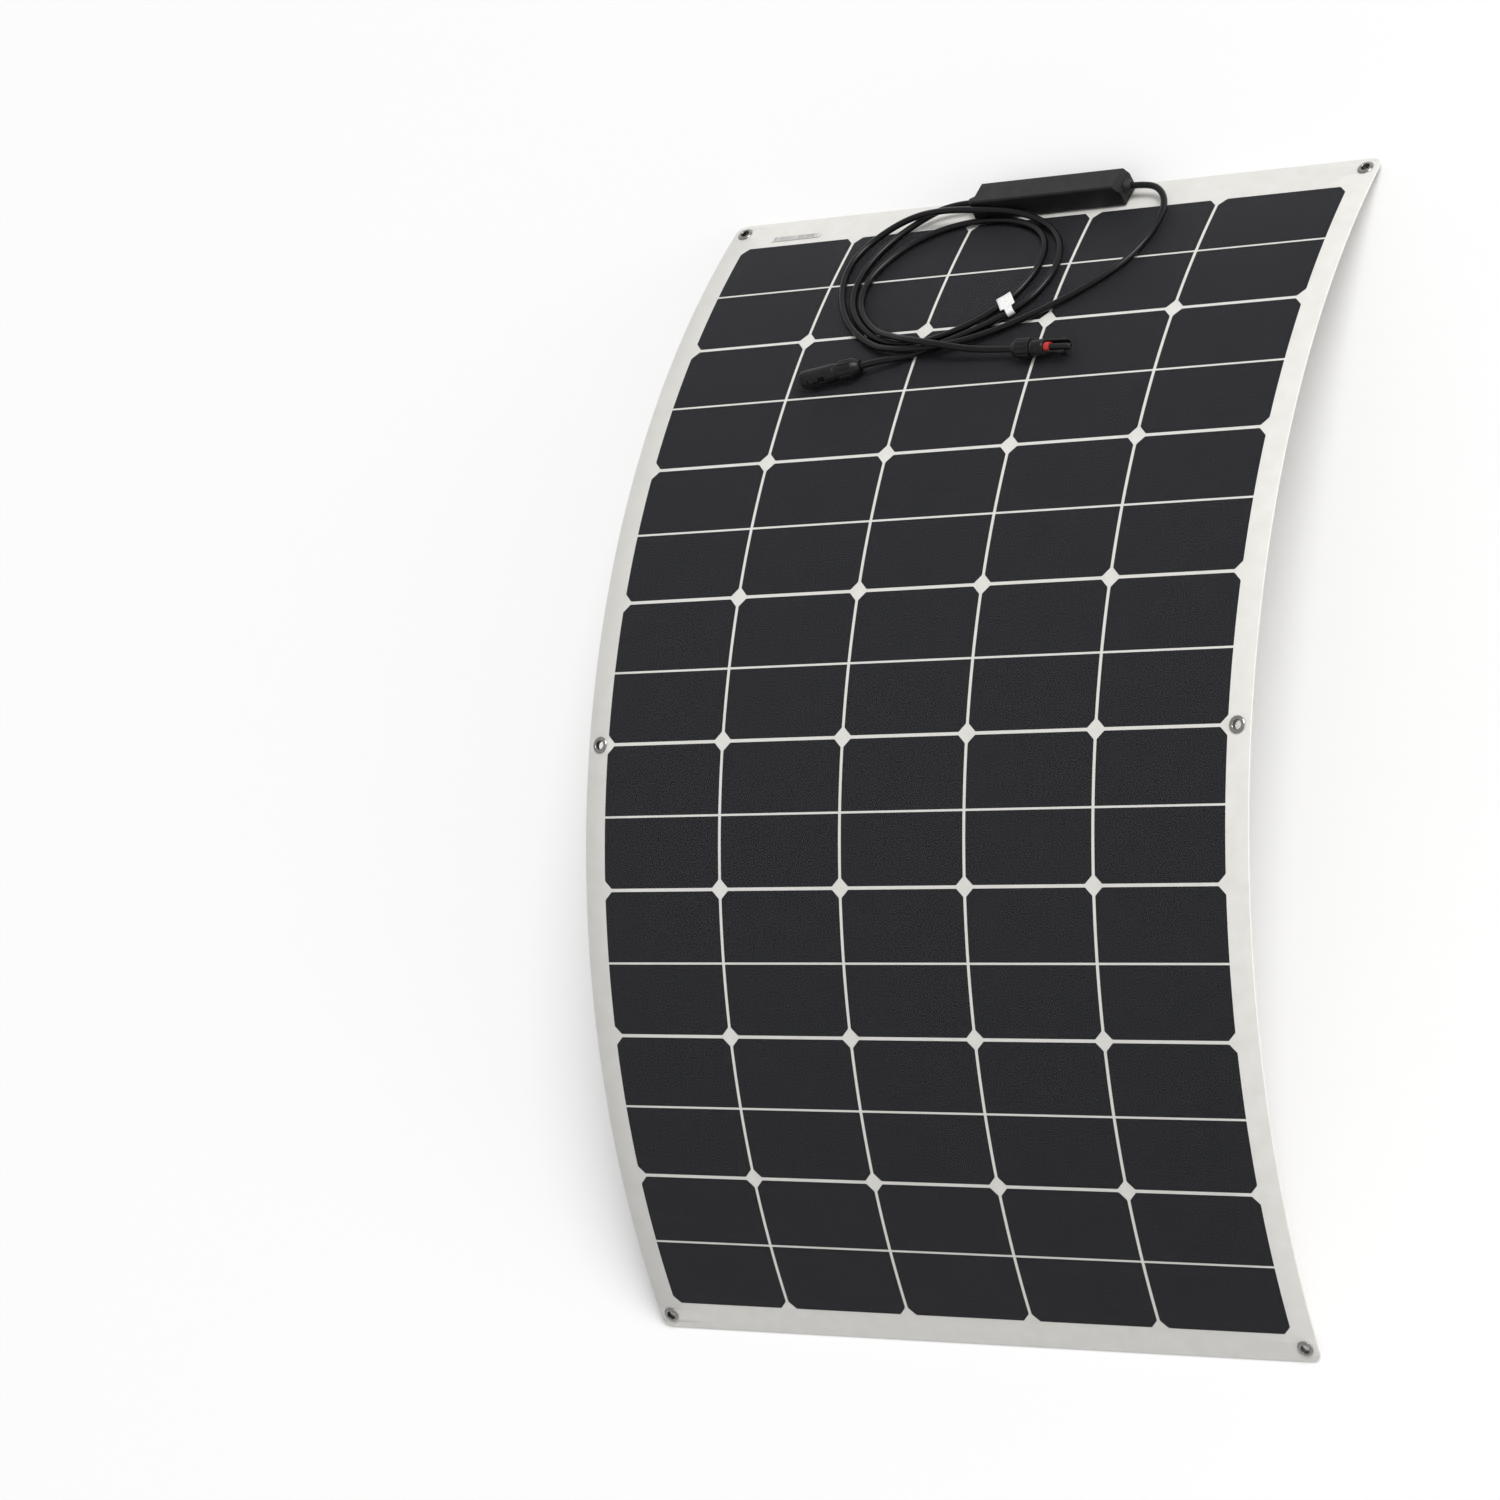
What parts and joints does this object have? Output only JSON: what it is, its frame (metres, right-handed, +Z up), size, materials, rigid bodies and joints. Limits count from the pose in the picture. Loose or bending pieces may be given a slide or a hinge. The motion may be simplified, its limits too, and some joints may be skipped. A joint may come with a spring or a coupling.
{
  "type": "flexible solar sheet",
  "caption": "Semi-flexible solar sheet bent into a low arch, with half-cut black cells, rim eyelets, a slim junction box and two coiled leads ending in a mating pair of plugs.",
  "frame": {"origin": "middle of the box around the object without its leads, at the level of the two short edges that it stands on", "axes": "+Z up and out of the cells at the crown, +Y along the sheet towards the junction box, +X across the sheet"},
  "size_m": [0.68, 1.0326, 0.1745],
  "materials": {
    "backsheet": "matte white backsheet",
    "front_film": "clear dimpled film",
    "cell": "black back-contact silicon",
    "ribbon": "tinned copper ribbon",
    "eyelet": "nickel-plated brass",
    "box_plastic": "fine-grained black moulding",
    "pad": "white foam adhesive",
    "box_seal": "soft black seal",
    "terminal": "plated brass clamp",
    "diode": "moulded diode",
    "gland_rubber": "soft black collar",
    "cord_rubber": "smooth black cable jacket",
    "plug_plastic": "black moulded connector",
    "contact": "tin-plated contact",
    "nose_seal": "soft red seal",
    "tag_paper": "white paper"
  },
  "bodies": {
    "strip_0": {"backsheet_0": "backsheet", "front_film_0": "front_film", "cells_0": "cell", "interconnects_0": "ribbon", "eyelets_top": "eyelet", "eyelet_washers_top": "eyelet", "junction_base": "box_plastic", "junction_lid": "box_plastic", "junction_seal": "box_seal", "junction_pad": "pad", "bypass_diode": "diode", "cord_terminals": "terminal", "cord_glands": "gland_rubber"},
    "strip_1": {"backsheet_1": "backsheet", "front_film_1": "front_film", "cells_1": "cell", "interconnects_1": "ribbon", "cord_left": "cord_rubber", "cord_right": "cord_rubber", "sleeve_nut": "plug_plastic", "sleeve_housing": "plug_plastic", "pin_contact": "contact", "finger_nut": "plug_plastic", "finger_housing": "plug_plastic", "socket_contact": "contact", "nose_seal": "nose_seal", "cord_tag": "tag_paper"},
    "strip_2": {"backsheet_2": "backsheet", "front_film_2": "front_film", "cells_2": "cell", "interconnects_2": "ribbon"},
    "strip_3": {"backsheet_3": "backsheet", "front_film_3": "front_film", "cells_3": "cell", "interconnects_3": "ribbon"},
    "strip_4": {"backsheet_4": "backsheet", "front_film_4": "front_film", "cells_4": "cell", "interconnects_4": "ribbon", "eyelets_middle": "eyelet", "eyelet_washers_middle": "eyelet"},
    "strip_5": {"backsheet_5": "backsheet", "front_film_5": "front_film", "cells_5": "cell", "interconnects_5": "ribbon"},
    "strip_6": {"backsheet_6": "backsheet", "front_film_6": "front_film", "cells_6": "cell", "interconnects_6": "ribbon"},
    "strip_7": {"backsheet_7": "backsheet", "front_film_7": "front_film", "cells_7": "cell", "interconnects_7": "ribbon"},
    "strip_8": {"backsheet_8": "backsheet", "front_film_8": "front_film", "cells_8": "cell", "interconnects_8": "ribbon", "eyelets_bottom": "eyelet", "eyelet_washers_bottom": "eyelet"}
  },
  "joints": [
    {"name": "flex_3", "type": "hinge", "parent": "strip_4", "child": "strip_3", "pos_m": [0, 0.05567, 0.1699], "axis": [1, 0, 0], "range_deg": [0, 8.76], "stiffness_Nm_per_rad": 190},
    {"name": "flex_2", "type": "hinge", "parent": "strip_3", "child": "strip_2", "pos_m": [0, 0.18392, 0.15083], "axis": [1, 0, 0], "range_deg": [0, 8.76], "stiffness_Nm_per_rad": 190},
    {"name": "flex_1", "type": "hinge", "parent": "strip_2", "child": "strip_1", "pos_m": [0, 0.30776, 0.11244], "axis": [1, 0, 0], "range_deg": [0, 8.76], "stiffness_Nm_per_rad": 190},
    {"name": "flex_0", "type": "hinge", "parent": "strip_1", "child": "strip_0", "pos_m": [0, 0.42432, 0.05563], "axis": [1, 0, 0], "range_deg": [0, 8.76], "stiffness_Nm_per_rad": 190, "deforming": ["cord_left", "cord_right"]},
    {"name": "flex_4", "type": "hinge", "parent": "strip_4", "child": "strip_5", "pos_m": [0, -0.07399, 0.16922], "axis": [-1, 0, 0], "range_deg": [0, 8.76], "stiffness_Nm_per_rad": 190},
    {"name": "flex_5", "type": "hinge", "parent": "strip_5", "child": "strip_6", "pos_m": [0, -0.20203, 0.14879], "axis": [-1, 0, 0], "range_deg": [0, 8.76], "stiffness_Nm_per_rad": 190},
    {"name": "flex_6", "type": "hinge", "parent": "strip_6", "child": "strip_7", "pos_m": [0, -0.32546, 0.10909], "axis": [-1, 0, 0], "range_deg": [0, 8.76], "stiffness_Nm_per_rad": 190},
    {"name": "flex_7", "type": "hinge", "parent": "strip_7", "child": "strip_8", "pos_m": [0, -0.4414, 0.05105], "axis": [-1, 0, 0], "range_deg": [0, 8.76], "stiffness_Nm_per_rad": 190}
  ],
  "couplings": [
    {"joint": "flex_2", "follows": "flex_3", "ratio": 1},
    {"joint": "flex_1", "follows": "flex_3", "ratio": 1},
    {"joint": "flex_0", "follows": "flex_3", "ratio": 1},
    {"joint": "flex_4", "follows": "flex_3", "ratio": 1},
    {"joint": "flex_5", "follows": "flex_3", "ratio": 1},
    {"joint": "flex_6", "follows": "flex_3", "ratio": 1},
    {"joint": "flex_7", "follows": "flex_3", "ratio": 1}
  ]
}
